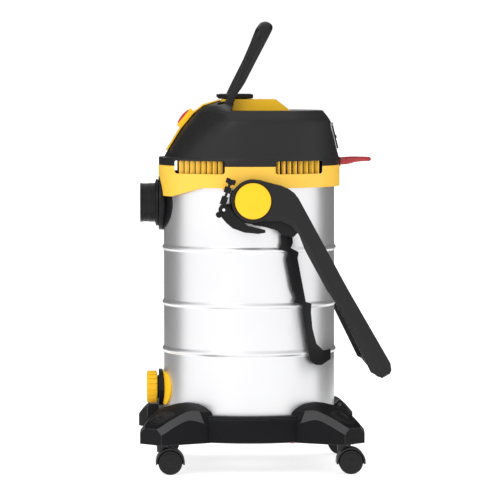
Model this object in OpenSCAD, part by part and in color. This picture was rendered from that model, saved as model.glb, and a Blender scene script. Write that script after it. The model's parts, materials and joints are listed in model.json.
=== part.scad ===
// Wet and dry vacuum cleaner on a four-caster base, with a lift-off motor head,
// a fold-down push handle, a carry handle, two side latches and a mains lead.
// X points from the hose inlet (front) to the cord (rear), Z up, the floor is z = 0.

/* [Tank] */
// Outer radius of the steel tank
tank_r = 162; // [158:1:164]
// Height of the tank's rolled top edge above the floor
tank_top = 536; // [534:1:537]
// Sheet thickness of the tank
tank_wall = 1.5; // [1:0.5:2]
// How far the rolled beads stand out
bead_h = 3; // [2:0.5:3]

/* [Head] */
// Outer radius of the motor head
head_r = 172; // [171:0.5:173]
// Wall thickness of the head's shells
shell_wall = 3; // [2:0.5:4]
// Number of ribs in each vent window
vent_ribs_per_window = 9; // [6:1:10]

/* [Handles] */
// Lean of the carry handle towards the rear, in degrees
carry_lean = 25; // [15:1:30]
// Length of the carry handle from pivot to grip
carry_len = 162; // [155:1:164]
// Radius of the push handle's hub
hub_r = 40; // [38:0.5:41]

/* [Base] */
// Outer radius of the base ring
base_r = 183; // [180:1:186]
// Distance of each caster from the middle, along X and along Y
caster_xy = 168; // [164:1:170]
// Radius of a caster wheel
wheel_r = 22.5; // [22:0.5:23]
// How far a wheel trails behind its swivel axis
trail = 15; // [14:0.5:16]

/* [Inlet and drain] */
// Height of the hose inlet's axis
inlet_z = 499; // [497:1:501]
// Radius of the hose inlet's bore
inlet_bore_r = 30; // [28:1:32]
// Height of the drain's axis
drain_z = 148; // [146:1:150]

/* [Hidden] */
$fn = 96;
axis_x = -25; // the tank's axis, so that the whole part is centred on the origin
gap = 0.3; // air between faces of different bodies

tank_bottom = 70;
bead_z = [222, 311, 415];
bead_half = 6;
rim_h = 5;

seal_h = 5;
ring_bottom = 530;
ring_top = 571;
chin_bottom = 511;
flange_z = tank_top + seal_h;
plate_z = flange_z + 3;
cover_shoulder = 655;
cover_top = 692;
window_z = [557, 582];
window_x = [[-143, -51], [43, 133]];

motor_r = 60;
motor_z = [574, 655];
fan_z = [554, 570];
shaft_r = 6;
cage_r = 45;
cage_z = [440, plate_z];
float_r = 22;
filter_r = 80;

carry_pivot = [-44, 680];
carry_y = [60, 80];
carry_pin_r = 5;

switch_at = [-122, 660];
switch_tilt = 50.3;
knob_at = [-26, 696];
knob_r = 34;
socket_at = [154, 621.3];
socket_tilt = 76.3;
socket_half = 26;
socket_face = 7;
flap_hinge = [-25.5, 9]; // along and out of the socket's face

gland_x = 173.6;
gland_z = 576;
gland_r = 9;

hub_z = 508.5;
hub_y = [177, 195];
hub_pin_r = 12;
cap_r = 33.5;
grip_at = [238, 194];
grip_r = 14;

latch_pin = [-54, 492.5];
latch_pin_r = 3;
latch_stub = [-63, 483.5];
latch_stub_r = 2.5;
latch_head = [-42, 543];
catch_y = 195.8;
catch_at = [-57, 529];
lever_y = [183, 194];
bolt_y = [196.5, 202.5];

base_z = [57, 107];
base_floor = 8;
foot_root = 163;
foot_tip = 268;
foot_root_z = 132;
foot_tip_z = 88;
foot_root_w = 118;
foot_tip_w = 64;
foot_dome_r = 74;
stem_r = 5.5;
stem_top = 84;
caster_at = caster_xy * sqrt(2);
caster_cap_z = 104.6;
foot_slope = atan2(9, 19); // of the foot's top where the caster caps sit

inlet_x = [-207, -173];
inlet_notch_r = 54;
collar_r = 52;
neck_r = 34;
spigot_r = 37;
drain_x = [-195, -175];
drain_neck_r = 22;
drain_bore_r = 14;
buffer_y = 14;

run = 0.05; // radial running clearance of a pin in its bore

cord_r = 4;
cord_sides = 8;
// The lead's route from the gland to the coil, x measured from the tank's axis
cord_route = [
    [174.2, 0, 576], [187, 0, 576.4], [199, 1, 578.5], [213, 6, 580], [225, 18, 580],
    [231, 37, 580], [227, 59, 580], [213, 78, 580], [195, 90, 579.5], [176, 99, 577],
    [161, 106, 570], [148, 112, 559], [139, 118, 543], [134, 122, 522], [131, 126, 495],
    [129, 130, 462], [127, 134, 428], [125, 138, 392], [122, 143, 355], [116, 150, 314],
    [107, 160, 272], [97, 169, 232], [87, 179, 190], [79, 190, 150], [74, 203, 114],
    [73, 219, 82], [75, 240, 55], [80, 266, 33], [86, 295, 17], [94, 325, 8], [102, 353, 4],
    [110, 382, 4], [115, 412, 4], [117, 450, 4]
];
cord_steps = 2; // rings of the tube between one route point and the next
coil_at = [60, 450];
coil_r = [29, 64];
coil_h = 32;
plug_at = [38, 517, 19];
plug_r = 19;

// Helpers

module at_axis() {
    translate([axis_x, 0, 0]) children();
}

module both_sides() {
    children();
    mirror([0, 1, 0]) children();
}

// A side outline of [x, z] points, extruded from y0 to y1
module side_plate(points, y0, y1) {
    translate([0, y1, 0])
        rotate([90, 0, 0])
            linear_extrude(height = y1 - y0)
                polygon(points);
}

// A cylinder along Y from y0 to y1, centred on at = [x, z]
module along_y(r, y0, y1, at) {
    translate([at[0], y1, at[1]])
        rotate([90, 0, 0])
            cylinder(r = r, h = y1 - y0);
}

// A cylinder along X from x0 to x1, centred on at = [y, z]
module along_x(r, x0, x1, at) {
    translate([x0, at[0], at[1]])
        rotate([0, 90, 0])
            cylinder(r = r, h = x1 - x0);
}

module upright(r, z0, z1, at = [0, 0]) {
    translate([at[0], at[1], z0])
        cylinder(r = r, h = z1 - z0);
}

module ring(r_out, r_in, z0, z1) {
    difference() {
        upright(r_out, z0, z1);
        upright(r_in, z0 - 1, z1 + 1);
    }
}

// Everything between x0 and x1 and between z0 and z1
module slab(x0, x1, z0, z1, half_y = 230) {
    translate([x0, -half_y, z0])
        cube([x1 - x0, 2 * half_y, z1 - z0]);
}

// Tank

function tank_outline() = [
    [0, tank_bottom], [tank_r - 4, tank_bottom], [tank_r, tank_bottom + 4],
    [tank_r, tank_top - rim_h], [tank_r + 2.5, tank_top - rim_h + 1],
    [tank_r + 2.5, tank_top], [tank_r - tank_wall, tank_top],
    [tank_r - tank_wall, tank_bottom + 5], [tank_r - 5, tank_bottom + tank_wall],
    [0, tank_bottom + tank_wall]
];

module tank() {
    color([0.86, 0.87, 0.88])
        at_axis()
            difference() {
                rotate_extrude() polygon(tank_outline());
                along_x(neck_r + 0.5, -tank_r - 10, -100, [0, inlet_z]);
                along_x(18, -tank_r - 10, -100, [0, drain_z]);
            }
}

function bead(z) = [
    for (a = [-90:30:90]) [tank_r + bead_h * cos(a), z + bead_half * sin(a)]
];

module tank_beads() {
    color([0.86, 0.87, 0.88])
        at_axis()
            for (z = bead_z)
                rotate_extrude() polygon(bead(z));
}

// Base

module foot_plan() {
    linear_extrude(height = foot_root_z)
        polygon([
            [foot_root - 18, -foot_root_w / 2], [foot_root + 14, -foot_root_w / 2],
            [foot_tip, -foot_tip_w / 2], [foot_tip, foot_tip_w / 2],
            [foot_root + 14, foot_root_w / 2], [foot_root - 18, foot_root_w / 2]
        ]);
}

module foot_side() {
    side_plate([
        [foot_root - 40, base_z[0]], [foot_tip, base_z[0]], [foot_tip, foot_tip_z],
        [foot_tip - 23, 101], [foot_tip - 42, 110], [foot_root + 22, foot_root_z - 5],
        [foot_root + 10, foot_root_z], [foot_root - 40, foot_root_z]
    ], -foot_root_w, foot_root_w);
}

module foot() {
    difference() {
        intersection() {
            foot_plan();
            foot_side();
            along_x(foot_dome_r, foot_root - 40, foot_tip + 1, [0, base_z[0]]);
        }
        upright(stem_r + run, base_z[0] - 1, stem_top + 2, [caster_at, 0]);
    }
}

module base_frame() {
    color([0.2, 0.2, 0.21])
        at_axis()
            difference() {
                union() {
                    upright(base_r, base_z[0], base_z[1] - 6);
                    upright(base_r - 6, base_z[1] - 7, base_z[1]);
                    for (a = [45:90:315])
                        rotate([0, 0, a]) foot();
                }
                upright(tank_r + 0.4, base_z[0] + base_floor + 5, foot_root_z + 1);
                upright(tank_r - 12, base_z[0] + base_floor, foot_root_z + 1);
                upright(70, base_z[0] - 1, base_z[1]);
                for (a = [0:90:270])
                    rotate([0, 0, a]) upright(3, base_z[0] - 1, base_z[1], [120, 0]);
            }
}

module base_screws() {
    color([0.7, 0.7, 0.72])
        at_axis()
            for (a = [0:90:270])
                rotate([0, 0, a]) {
                    upright(2.9, base_z[0] + 1, tank_bottom, [120, 0]);
                    upright(6, base_z[0] - 3, base_z[0], [120, 0]);
                    upright(2.9, base_z[0] - 1, base_z[0] + 2, [120, 0]);
                }
}

module caster_caps() {
    color([0.16, 0.16, 0.17])
        at_axis()
            for (a = [45:90:315])
                rotate([0, 0, a])
                    translate([caster_at, 0, caster_cap_z])
                        rotate([0, foot_slope, 0])
                            difference() {
                                cylinder(r = 21, h = 3);
                                translate([-8, -1, 2]) cube([16, 2, 2]);
                            }
}

// A block hooked over the front of the base, below the drain
module front_buffer() {
    color([0.16, 0.16, 0.17])
        at_axis()
            difference() {
                side_plate([
                    [-194, 91], [-188, 84], [-175, 84], [-172.5, 87], [-172.5, 112],
                    [-176, 116], [-188, 116], [-194, 110]
                ], -buffer_y, buffer_y);
                upright(base_r, base_z[0], base_z[1] - 6);
                upright(base_r - 6, base_z[1] - 7, base_z[1]);
            }
}

module tool_holder() {
    color([0.16, 0.16, 0.17])
        at_axis()
            difference() {
                side_plate([
                    [tank_r + 0.5, 107], [tank_r + 0.5, 114], [173, 123], [180, 114],
                    [188, 103], [192, 90], [183.1, 86], [183.1, 102], [177.1, 107.1]
                ], -5, 5);
                along_y(3.5, -6, 6, [173, 114]);
            }
}

// Inlet

module inlet_body() {
    color([0.12, 0.12, 0.13])
        at_axis()
            difference() {
                union() {
                    along_x(collar_r, inlet_x[1] + 1, -140, [0, inlet_z]);
                    along_x(neck_r, -160, -150, [0, inlet_z]);
                }
                difference() {
                    union() {
                        upright(tank_r + 0.2, 300, 600);
                        upright(tank_r + 4.3, tank_top - rim_h - 1, 600);
                    }
                    along_x(neck_r, -180, -150, [0, inlet_z]);
                }
                along_x(inlet_bore_r + 1, -190, -100, [0, inlet_z]);
            }
}

module inlet_ring() {
    color([0.12, 0.12, 0.13])
        at_axis()
            difference() {
                union() {
                    along_x(spigot_r, inlet_x[0], inlet_x[1] + 1, [0, inlet_z]);
                    along_x(44.5, inlet_x[1] - 4, inlet_x[1] + 0.5, [0, inlet_z]);
                }
                along_x(inlet_bore_r, -220, inlet_x[1], [0, inlet_z]);
                along_x(inlet_bore_r + 1, inlet_x[1] - 1, -100, [0, inlet_z]);
            }
}

// A hood inside the tank, open below, that turns the air down
module inlet_deflector() {
    color([0.12, 0.12, 0.13])
        at_axis()
            difference() {
                along_x(neck_r + 2.5, -158, -108, [0, inlet_z]);
                along_x(neck_r + 0.1, -170, -149.9, [0, inlet_z]);
                along_x(inlet_bore_r + 2, -170, -112, [0, inlet_z]);
                slab(-146, -107, inlet_z - 50, inlet_z - 6, 40);
                ring(220, tank_r - 3, 400, 600);
            }
}

// Drain

module drain_body() {
    color([0.12, 0.12, 0.13])
        at_axis()
            difference() {
                union() {
                    along_x(34.5, -172, -150, [0, drain_z]);
                    along_x(drain_neck_r, drain_x[1] - 12, -171, [0, drain_z]);
                    along_x(17.8, -172, -145, [0, drain_z]);
                }
                difference() {
                    upright(tank_r + 3.2, 50, 300);
                    along_x(17.8, -180, -130, [0, drain_z]);
                }
                along_x(drain_bore_r, -200, -120, [0, drain_z]);
            }
}

module drain_plate() {
    color([0.96, 0.75, 0.1])
        at_axis()
            intersection() {
                ring(tank_r + 3, tank_r + 0.1, drain_z - 40, drain_z + 40);
                difference() {
                    union() {
                        translate([-200, -34, drain_z - 31]) cube([100, 68, 62]);
                        along_x(31, -200, -100, [-34, drain_z]);
                        along_x(31, -200, -100, [34, drain_z]);
                    }
                    along_x(18, -210, -90, [0, drain_z]);
                }
            }
}

module drain_seal() {
    color([0.1, 0.1, 0.1])
        at_axis()
            difference() {
                along_x(21, drain_x[1] - 14.5, drain_x[1] - 12, [0, drain_z]);
                along_x(drain_bore_r, -200, -150, [0, drain_z]);
            }
}

module drain_cap() {
    color([0.98, 0.76, 0.1])
        at_axis()
            difference() {
                union() {
                    along_x(28.8, drain_x[0], drain_x[1], [0, drain_z]);
                    for (a = [0:20:340])
                        translate([drain_x[0] + 1.5, 0, drain_z])
                            rotate([a, 0, 0])
                                translate([0, 27, -2.2]) cube([17, 3.8, 4.4]);
                }
                along_x(drain_neck_r + gap, drain_x[1] - 15, -100, [0, drain_z]);
            }
}

// Push handle and its brackets

module bracket() {
    difference() {
        union() {
            intersection() {
                union() {
                    along_y(hub_r + 3, 120, hub_y[0] - 1, [0, hub_z]);
                    side_plate([
                        [0, hub_z - 45], [22, 460], [46, 453], [54, 445], [76, 441],
                        [92, 458], [84, 500], [50, 527], [0, 527]
                    ], 120, hub_y[0] - 1);
                    side_plate([
                        [-62, 486], [-56, 480], [-30, 484], [-30, 506], [-60, 500]
                    ], 120, hub_y[0] + 4);
                }
                slab(-100, 120, 400, 528);
            }
            along_y(hub_pin_r, 150, hub_y[1] - 2, [0, hub_z]);
        }
        upright(tank_r + 0.1, 300, 600);
        along_y(latch_pin_r, 100, 200, latch_pin);
        difference() {
            along_y(hub_r + 1.2, hub_y[0] - 1, 220, [0, hub_z]);
            along_y(hub_pin_r, hub_y[0] - 2, 220, [0, hub_z]);
        }
    }
}

module pivot_bracket_left() {
    color([0.13, 0.13, 0.14]) at_axis() mirror([0, 1, 0]) bracket();
}

module pivot_bracket_right() {
    color([0.13, 0.13, 0.14]) at_axis() bracket();
}

function arm_outline() = [
    [10, 548], [32, 542], [52, 537], [66, 531], [76, 524], [84, 514],
    [176, 345], [255, 208], [257, 195], [254, 188], [240, 179], [219, 190],
    [173, 284], [154, 318], [136, 345], [105, 402], [96, 419], [86, 445],
    [72, 462], [50, 472], [10, 470]
];

module arm() {
    difference() {
        union() {
            side_plate(arm_outline(), hub_y[0], hub_y[1]);
            along_y(hub_r, hub_y[0], hub_y[1], [0, hub_z]);
        }
        along_y(hub_pin_r + run, hub_y[0] - 1, hub_y[1] + 1, [0, hub_z]);
        side_plate([
            [60, 508], [98, 462], [160, 345], [216, 236], [206, 230], [146, 340],
            [84, 450], [50, 495]
        ], hub_y[0] - 1, hub_y[0] + 6);
    }
}

module push_handle() {
    color([0.17, 0.17, 0.18])
        at_axis() {
            both_sides() arm();
            difference() {
                along_y(grip_r, -hub_y[0] - 1, hub_y[0] + 1, grip_at);
                along_y(grip_r - 4, -hub_y[0] + 4, hub_y[0] - 4, grip_at);
            }
        }
}

module pivot_caps() {
    color([0.98, 0.76, 0.1])
        at_axis()
            both_sides() {
                along_y(cap_r, hub_y[1], hub_y[1] + 6, [0, hub_z]);
            }
}

// A zigzag rail hugs each side of the tank
function rail_outline() = [
    [53, 444.5], [75, 440], [76, 430], [72, 420], [87, 411], [85, 400], [96, 343],
    [101, 318], [112, 314], [111, 298], [114, 268], [122, 238], [136, 224],
    [151, 225], [151, 206], [146, 204], [132, 197], [120, 199], [110, 207],
    [106, 230], [96, 291], [94, 314], [77, 318], [82, 325], [74, 343], [63, 397],
    [66, 412], [50, 418], [54, 430]
];

module tool_rail() {
    color([0.13, 0.13, 0.14])
        at_axis()
            intersection() {
                side_plate(rail_outline(), -200, 200);
                ring(tank_r + 8, tank_r + bead_h + 0.02, 190, 450);
            }
}

// Side latches

module latch_pins() {
    color([0.75, 0.76, 0.78])
        at_axis()
            both_sides() {
                along_y(latch_pin_r, 164, lever_y[1] + 0.5, latch_pin);
                along_y(latch_pin_r + 1, lever_y[1] + 0.3, lever_y[1] + 1.3, latch_pin);
            }
}

module latch_lever() {
    difference() {
        union() {
            side_plate([
                [-68, 478], [-56, 474], [-46, 466], [-36, 457], [-14, 450], [10, 448],
                [23, 450], [23, 455], [10, 458], [-10, 463], [-26, 471], [-36, 480],
                [-41, 490], [-44, 500], [-62, 502], [-66, 490]
            ], lever_y[0], lever_y[1]);
            along_y(latch_stub_r, lever_y[0], bolt_y[1] + 0.8, latch_stub);
        }
        along_y(latch_pin_r + run, lever_y[0] - 1, lever_y[1] + 1, latch_pin);
        along_y(hub_r + 1.2, lever_y[0] - 1, lever_y[1] + 1, [0, hub_z]);
    }
}

module latch_bolt() {
    bolt_mid = (bolt_y[0] + bolt_y[1]) / 2;
    reach = latch_head - latch_stub;
    difference() {
        union() {
            along_y(5.5, bolt_y[0], bolt_y[1], latch_stub);
            translate([latch_stub[0], bolt_mid, latch_stub[1]])
                rotate([0, atan2(reach[0], reach[1]), 0]) {
                    translate([0, 0, 3]) cylinder(r = 2.6, h = norm(reach) - 5);
                    translate([-5, -3, 30]) cube([10, 6, 8]);
                    translate([-9, -3, norm(reach) - 7]) cube([18, 6, 10]);
                }
        }
        along_y(latch_stub_r + run, bolt_y[0] - 1, bolt_y[1] + 2, latch_stub);
    }
}

module latch_lever_left() {
    color([0.13, 0.13, 0.14]) at_axis() mirror([0, 1, 0]) latch_lever();
}

module latch_lever_right() {
    color([0.13, 0.13, 0.14]) at_axis() latch_lever();
}

module latch_bolt_left() {
    color([0.13, 0.13, 0.14]) at_axis() mirror([0, 1, 0]) latch_bolt();
}

module latch_bolt_right() {
    color([0.13, 0.13, 0.14]) at_axis() latch_bolt();
}

// Head

module windows() {
    for (w = window_x)
        slab(w[0], w[1], window_z[0], window_z[1]);
}

module chin() {
    intersection() {
        ring(head_r, head_r - shell_wall, chin_bottom, ring_bottom + 1);
        side_plate([
            [-180, 540], [-167, chin_bottom], [-148, chin_bottom],
            [-115, 522], [-92, ring_bottom], [-92, 540]
        ], -200, 200);
    }
}

module head_ring() {
    color([0.98, 0.78, 0.16])
        at_axis()
            difference() {
                union() {
                    ring(head_r, head_r - shell_wall, ring_bottom, ring_top);
                    ring(head_r - 1, 150, flange_z, plate_z);
                    chin();
                }
                windows();
                upright(head_r - shell_wall, 500, flange_z);
                difference() {
                    along_x(inlet_notch_r, -200, -100, [0, inlet_z]);
                    upright(tank_r + 1.5, 400, 600);
                }
                along_x(gland_r + 0.1, 150, 200, [0, gland_z]);
                for (a = [0:60:300])
                    rotate([0, 0, a]) upright(2.6, 530, plate_z + 1, [154, 0]);
            }
}

module head_catches() {
    color([0.98, 0.78, 0.16])
        at_axis()
            both_sides()
                difference() {
                    translate([catch_at[0], 155, catch_at[1]]) cube([8, catch_y - 155, 8]);
                    upright(head_r, ring_bottom - 10, ring_top);
                }
}

module rib_set(w, count) {
    for (i = [0:count - 1]) {
        x = w[0] + (i + 0.5) * (w[1] - w[0]) / count;
        rotate([0, 0, atan2(sqrt(pow(head_r - 2, 2) - x * x), x)])
            translate([head_r - 16, -1.8, window_z[0]])
                cube([14.5, 3.6, window_z[1] - window_z[0]]);
    }
}

module vent_ribs() {
    color([0.98, 0.76, 0.14])
        at_axis()
            both_sides() {
                for (w = window_x)
                    rib_set(w, vent_ribs_per_window);
                for (w = window_x)
                    intersection() {
                        ring(head_r - shell_wall, head_r - 16, window_z[0] - 2, window_z[0] + 0.5);
                        translate([w[0] - 2, 0, 500]) cube([w[1] - w[0] + 4, 200, 100]);
                    }
            }
}

// The head's side outline above the ring
function cover_outline() = [
    [-172, ring_top - 10], [-172, 586], [-162, 587], [-129, 640], [-106, 668], [-86, 683],
    [-55, cover_top], [-30, cover_top], [-36, 674], [75, 674], [141, 670], [154, 652],
    [166, 625], [172, 589],
    [172, ring_top - 10]
];

module cover_form(inset) {
    intersection() {
        rotate_extrude()
            polygon([
                [0, ring_top - inset], [head_r - 0.5 - inset, ring_top - inset],
                [head_r - 2 - inset, cover_shoulder - inset],
                [head_r - 24 - inset, 674 - inset], [60, cover_top - inset],
                [0, cover_top - inset]
            ]);
        translate([0, 200, 0])
            rotate([90, 0, 0])
                linear_extrude(height = 400)
                    offset(delta = -inset)
                        polygon(cover_outline());
        slab(-180, 180, ring_top - inset, 700, 200);
    }
}

module head_cover() {
    color([0.25, 0.25, 0.26])
        at_axis()
            difference() {
                cover_form(0);
                cover_form(shell_wall);
                windows();
                slab(-58, 80, 660, 700, 56);
                both_sides()
                    along_y(18.5, carry_y[0] - 5, carry_y[1] + 4, carry_pivot);
                translate([switch_at[0], 0, switch_at[1]])
                    rotate([0, -switch_tilt, 0])
                        translate([-20.7, -14.2, -30]) cube([41.4, 28.4, 40]);
                socket_frame_at()
                    translate([-socket_half - 2.3, -socket_half - gap, -20])
                        cube([2 * socket_half + 2.6, 2 * (socket_half + gap), 40]);
                along_x(gland_r + 0.1, 150, 200, [0, gland_z]);
            }
}

module top_plate() {
    color([0.96, 0.73, 0.08])
        at_axis()
            difference() {
                side_plate([
                    [-57, 665], [-57, 689], [-50, 695], [49, 695], [76, 674], [76, 665]
                ], -55, 55);
                side_plate([
                    [-53, 660], [-53, 686], [-48, 691], [46, 691], [70, 672], [70, 660]
                ], -51, 51);
                along_y(carry_pin_r + run, -60, 60, carry_pivot);
                upright(4 + run, 680, 700, [knob_at[0], 0]);
            }
}

module front_panel() {
    color([0.98, 0.76, 0.1])
        at_axis()
            difference() {
                union() {
                    side_plate([
                        [-157.2, 598], [-154, 600.5], [-129.4, 640.3], [-106.3, 668.4],
                        [-86.2, 683.5], [-56.2, 692.2], [-56.2, 694.3], [-87, 685.3],
                        [-107.6, 669.9], [-131.2, 641.6], [-157.8, 599]
                    ], -28, 28);
                    translate([switch_at[0], 0, switch_at[1]])
                        rotate([0, -switch_tilt, 0])
                            translate([-20.5, -14, -16]) cube([41, 28, 19]);
                }
                translate([switch_at[0], 0, switch_at[1]])
                    rotate([0, -switch_tilt, 0])
                        translate([-18, -11, -12]) cube([36, 22, 30]);
                along_y(2 + run, -13.5, 13.5, switch_pivot());
            }
}

// The rocker turns about a pin 5 mm under the panel's face
function switch_pivot() = [
    switch_at[0] + 5 * sin(switch_tilt), switch_at[1] - 5 * cos(switch_tilt)
];

module rocker_switch() {
    color([0.85, 0.1, 0.08])
        at_axis() {
            translate([switch_at[0], 0, switch_at[1]])
                rotate([0, -switch_tilt, 0])
                    side_plate([
                        [-16, -3], [-16, 5], [-9, 8.5], [0, 9.5], [9, 9], [16, 6.5],
                        [16, 2], [8, -7], [-8, -7]
                    ], -10.6, 10.6);
            along_y(2, -13.2, 13.2, switch_pivot());
        }
}

module selector_knob() {
    color([0.12, 0.12, 0.13])
        at_axis() {
            difference() {
                upright(knob_r, knob_at[1], 705, [knob_at[0], 0]);
                for (a = [0:30:330])
                    translate([knob_at[0], 0, 690])
                        rotate([0, 0, a])
                            translate([knob_r + 1.2, 0, 0]) cylinder(r = 2.5, h = 20);
            }
            translate([knob_at[0] - 36, -4, 699]) cube([8, 8, 5]);
            upright(4, 686, knob_at[1] + 1, [knob_at[0], 0]);
        }
}

module socket_frame_at() {
    translate([socket_at[0], 0, socket_at[1]])
        rotate([0, socket_tilt, 0])
            children();
}

module socket_plate() {
    color([0.6, 0.61, 0.62])
        at_axis()
            socket_frame_at()
                difference() {
                    union() {
                        translate([-socket_half, -socket_half, 1])
                            cube([2 * socket_half, 2 * socket_half, socket_face - 1]);
                        translate([0, 0, -16]) cylinder(r = 22.9, h = 20);
                        for (side = [-1, 1])
                            translate([-28, side * 20.2 - 1.8, 1]) cube([5, 3.6, 10]);
                    }
                    along_y(1 + run, -23, 23, [flap_hinge[0], flap_hinge[1]]);
                    translate([0, 0, -13]) cylinder(r = 19.5, h = 30);
                    for (side = [-1, 1])
                        translate([0, side * 9.5, -17]) cylinder(r = 2.6, h = 10);
                }
}

module socket_flap() {
    color([0.13, 0.13, 0.14])
        at_axis()
            socket_frame_at() {
                translate([-22, -23, 7.3]) cube([44, 46, 2.7]);
                translate([flap_hinge[0], -17.9, 7.3]) cube([5, 35.8, 2.7]);
                translate([-3, -8, 7.3]) cube([6, 16, 5]);
                along_y(1.7, -17.9, 17.9, flap_hinge);
                along_y(1, -21.5, 21.5, flap_hinge);
            }
}

module cord_gland() {
    color([0.12, 0.12, 0.13])
        at_axis() {
            along_x(gland_r, 160, gland_x, [0, gland_z]);
            along_x(gland_r + 4, 158, 165, [0, gland_z]);
        }
}

// Inside the head

module motor() {
    color([0.55, 0.56, 0.58])
        at_axis()
            difference() {
                union() {
                    upright(motor_r, motor_z[0], motor_z[1]);
                    upright(24, motor_z[1], motor_z[1] + 6);
                    ring(motor_r + 8, motor_r + 5, plate_z + 5, motor_z[0]);
                    ring(motor_r + 8, shaft_r + run, motor_z[0], motor_z[0] + 4);
                }
                upright(shaft_r + run, motor_z[0] - 1, motor_z[0] + 50);
            }
}

module motor_plate() {
    color([0.15, 0.15, 0.16])
        at_axis()
            difference() {
                upright(160, plate_z, plate_z + 5);
                upright(38, plate_z - 1, plate_z + 6);
                for (a = [0:60:300])
                    rotate([0, 0, a]) upright(2.6, plate_z - 1, plate_z + 6, [154, 0]);
            }
}

module head_screws() {
    color([0.7, 0.7, 0.72])
        at_axis()
            for (a = [0:60:300])
                rotate([0, 0, a]) {
                    upright(2.5, flange_z + 0.1, plate_z + 7, [154, 0]);
                    upright(4.5, plate_z + 5, plate_z + 8, [154, 0]);
                }
}

module fan_impeller() {
    color([0.8, 0.8, 0.82])
        at_axis() {
            upright(58, fan_z[0], fan_z[0] + 1.5);
            upright(58, fan_z[1] - 1.5, fan_z[1]);
            for (a = [0:45:315])
                rotate([0, 0, a])
                    translate([14, -0.8, fan_z[0] + 1]) cube([42, 1.6, 14]);
            upright(shaft_r, fan_z[0], motor_z[0] + 45);
        }
}

module head_seal() {
    color([0.1, 0.1, 0.1]) at_axis() ring(tank_r + 4, tank_r - 6, tank_top, flange_z);
}

module filter_cage() {
    color([0.15, 0.15, 0.16])
        at_axis()
            difference() {
                union() {
                    ring(cage_r, cage_r - 3, cage_z[0], cage_z[1]);
                    upright(cage_r, cage_z[0], cage_z[0] + 3);
                    ring(60, cage_r - 3, cage_z[1] - 3, cage_z[1]);
                }
                for (a = [0:45:135])
                    rotate([0, 0, a])
                        translate([-60, -6, cage_z[0] + 12]) cube([120, 12, 76]);
            }
}

module filter_cartridge() {
    color([0.93, 0.93, 0.9])
        at_axis() {
            ring(filter_r, cage_r + 0.5, cage_z[0] + 0.2, cage_z[0] + 10);
            ring(filter_r, cage_r + 0.5, cage_z[1] - 12, cage_z[1] - 3.2);
            ring(filter_r - 4, filter_r - 14, cage_z[0] + 9, cage_z[1] - 11);
        }
}

module filter_nut() {
    color([0.12, 0.12, 0.13])
        at_axis() {
            upright(64, cage_z[0] - 5, cage_z[0]);
            upright(18, cage_z[0] - 20, cage_z[0] - 5);
            translate([-32, -4, cage_z[0] - 18]) cube([64, 8, 14]);
        }
}

module float_ball() {
    color([0.9, 0.9, 0.92])
        at_axis()
            translate([0, 0, cage_z[0] + 3 + float_r]) sphere(r = float_r);
}

// Carry handle: two legs and a grip, leaning to the rear
module carry_handle() {
    color([0.14, 0.14, 0.15])
        at_axis()
            translate([carry_pivot[0], 0, carry_pivot[1]])
                rotate([0, carry_lean, 0]) {
                    both_sides() {
                        difference() {
                            side_plate([
                                [-8, 0], [-7.5, 50], [-6, 95], [-7, 130], [-9, 158],
                                [-4, 176], [6, 178], [16, 172], [14, 140], [12, 112],
                                [9, 96], [6, 60], [5.5, 30], [8, 0]
                            ], carry_y[0], carry_y[1]);
                            side_plate([
                                [-2.5, 60], [2.5, 60], [5, 140], [0, 147], [-4.5, 140]
                            ], carry_y[1] - 2, carry_y[1] + 1);
                        }
                        along_y(10, carry_y[0], carry_y[1], [0, 0]);
                        along_y(carry_pin_r, carry_y[0] - 20, carry_y[0] + 1, [0, 0]);
                    }
                    along_y(13, -carry_y[0] - 1, carry_y[0] + 1, [0, carry_len]);
                }
}

// Casters, drawn about the swivel axis with the wheels trailing to the rear

module caster_place(sx, sy) {
    at_axis()
        translate([sx * caster_xy, sy * caster_xy, 0])
            children();
}

module caster_fork() {
    color([0.12, 0.12, 0.13])
        difference() {
            union() {
                intersection() {
                    along_y(27, -19, 19, [trail, wheel_r]);
                    translate([-30, -20, 19]) cube([80, 40, 60]);
                }
                along_y(19, -3, 3, [trail, wheel_r]);
                upright(10, 42, base_z[0] - 0.5);
                upright(stem_r, base_z[0] - 1, stem_top);
            }
            along_y(wheel_r + 1.7, 3.2, 30, [trail, wheel_r]);
            along_y(wheel_r + 1.7, -30, -3.2, [trail, wheel_r]);
            along_y(3.02, -30, 30, [trail, wheel_r]);
        }
}

module wheel_half() {
    rotate_extrude()
        polygon([
            [3 + run, 0], [8, 0], [9, 2], [18, 2], [19, 0], [wheel_r - 1.5, 0],
            [wheel_r, 1.5], [wheel_r, 10.5], [wheel_r - 1.5, 12.5], [17, 12.5], [15, 10],
            [8, 10], [7, 12.5], [3 + run, 12.5]
        ]);
}

module caster_wheels() {
    color([0.1, 0.1, 0.1])
        translate([trail, 0, wheel_r])
            both_sides()
                translate([0, 4, 0])
                    rotate([-90, 0, 0]) wheel_half();
}

module caster_axle() {
    color([0.7, 0.7, 0.72]) along_y(3, -16.8, 16.8, [trail, wheel_r]);
}

module caster_fork_front_left() { caster_place(-1, -1) caster_fork(); }
module caster_fork_front_right() { caster_place(-1, 1) caster_fork(); }
module caster_fork_rear_left() { caster_place(1, -1) caster_fork(); }
module caster_fork_rear_right() { caster_place(1, 1) caster_fork(); }
module caster_wheels_front_left() { caster_place(-1, -1) caster_wheels(); }
module caster_wheels_front_right() { caster_place(-1, 1) caster_wheels(); }
module caster_wheels_rear_left() { caster_place(1, -1) caster_wheels(); }
module caster_wheels_rear_right() { caster_place(1, 1) caster_wheels(); }
module caster_axle_front_left() { caster_place(-1, -1) caster_axle(); }
module caster_axle_front_right() { caster_place(-1, 1) caster_axle(); }
module caster_axle_rear_left() { caster_place(1, -1) caster_axle(); }
module caster_axle_rear_right() { caster_place(1, 1) caster_axle(); }

// Mains lead

function unit(v) = v / norm(v);

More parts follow.
